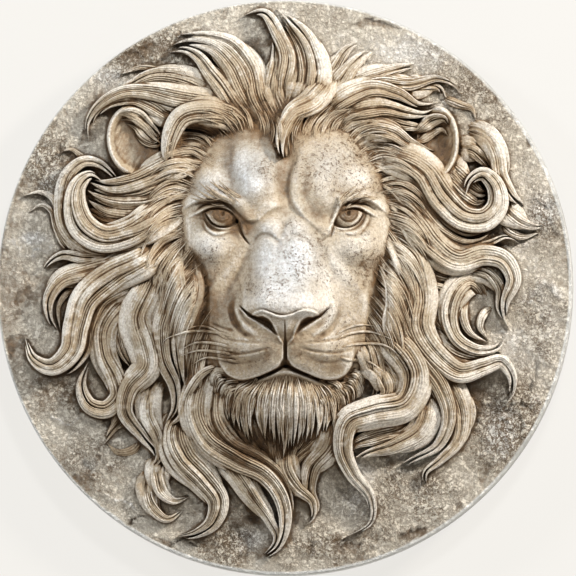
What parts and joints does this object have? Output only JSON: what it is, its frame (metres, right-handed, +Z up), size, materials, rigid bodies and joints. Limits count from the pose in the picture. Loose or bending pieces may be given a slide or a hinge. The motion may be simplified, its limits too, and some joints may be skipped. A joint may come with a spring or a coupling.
{
  "type": "lion head relief roundel",
  "caption": "Round wall roundel with a carved lion's head in high relief, its mane in flowing locks across the slab, fixed flat to a wall by its back.",
  "frame": {"origin": "centre of the round back face, on the wall", "axes": "+Z up, +X to the viewer's right, the lion looks along -Y and +Y points into the wall"},
  "size_m": [0.4, 0.1019, 0.4],
  "materials": {
    "aged_stone": "aged cream cast stone, matt and slightly rough, pale on the crests, with brown dirt in the grooves and small pits"
  },
  "bodies": {
    "root": {"lion_head_roundel": "aged_stone"}
  },
  "joints": []
}
